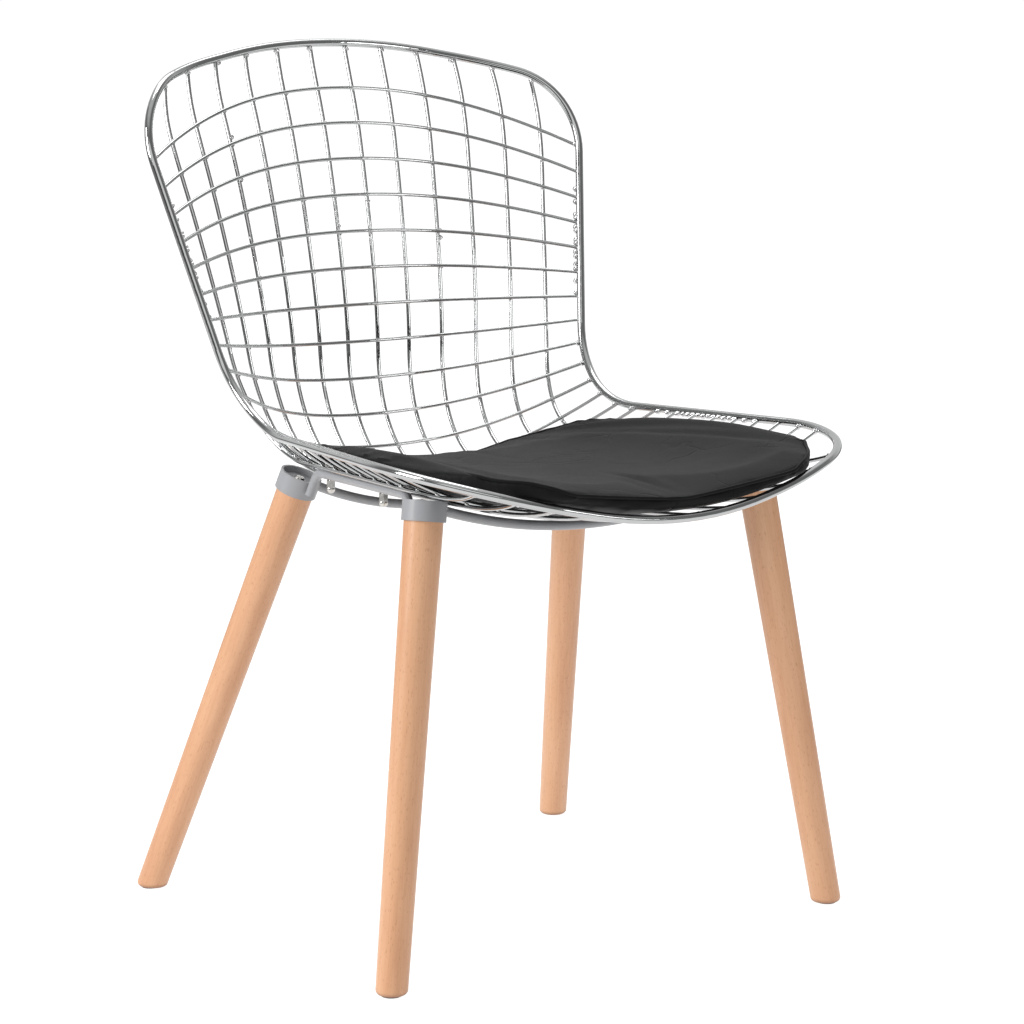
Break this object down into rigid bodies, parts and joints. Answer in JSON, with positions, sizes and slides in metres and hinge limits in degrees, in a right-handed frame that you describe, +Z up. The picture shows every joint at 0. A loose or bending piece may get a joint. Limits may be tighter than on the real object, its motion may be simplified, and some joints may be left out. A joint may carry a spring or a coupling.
{
  "type": "wire mesh dining chair",
  "caption": "Dining chair with a welded chrome wire shell, a thin black seat pad and splayed turned wooden legs in grey metal cups.",
  "frame": {"origin": "on the floor under the middle of the chair's bounding box", "axes": "+Z up, the chair faces -Y, x = 0 is its plane of symmetry, the sitter's right is -X"},
  "size_m": [0.5371, 0.5871, 0.8282],
  "materials": {
    "chrome": "polished",
    "grey_paint": "satin",
    "nickel": "polished",
    "beech": "satin",
    "glide_plastic": "matte",
    "leatherette": "satin"
  },
  "bodies": {
    "root": {"clamp_hooks": "nickel", "clamp_nuts": "nickel", "cross_wire_01": "chrome", "cross_wire_02": "chrome", "cross_wire_03": "chrome", "cross_wire_04": "chrome", "cross_wire_05": "chrome", "cross_wire_06": "chrome", "cross_wire_07": "chrome", "cross_wire_08": "chrome", "cross_wire_09": "chrome", "cross_wire_10": "chrome", "cross_wire_11": "chrome", "cross_wire_12": "chrome", "cross_wire_13": "chrome", "cross_wire_14": "chrome", "cross_wire_15": "chrome", "cross_wire_16": "chrome", "cross_wire_17": "chrome", "cross_wire_18": "chrome", "cross_wire_19": "chrome", "cross_wire_20": "chrome", "cross_wire_21": "chrome", "cross_wire_22": "chrome", "cross_wire_23": "chrome", "front_cross_bar": "grey_paint", "glide_front_left": "glide_plastic", "glide_front_right": "glide_plastic", "glide_rear_left": "glide_plastic", "glide_rear_right": "glide_plastic", "leg_cup_front_left": "grey_paint", "leg_cup_front_right": "grey_paint", "leg_cup_rear_left": "grey_paint", "leg_cup_rear_right": "grey_paint", "leg_front_left": "beech", "leg_front_right": "beech", "leg_rear_left": "beech", "leg_rear_right": "beech", "leg_screws": "nickel", "long_wire_01": "chrome", "long_wire_02": "chrome", "long_wire_03": "chrome", "long_wire_04": "chrome", "long_wire_05": "chrome", "long_wire_06": "chrome", "long_wire_07": "chrome", "long_wire_08": "chrome", "long_wire_09": "chrome", "long_wire_10": "chrome", "long_wire_11": "chrome", "long_wire_12": "chrome", "rear_cross_bar": "grey_paint", "rim_rod": "chrome", "seat_pad": "leatherette", "side_bar_left": "grey_paint", "side_bar_right": "grey_paint"}
  },
  "joints": []
}
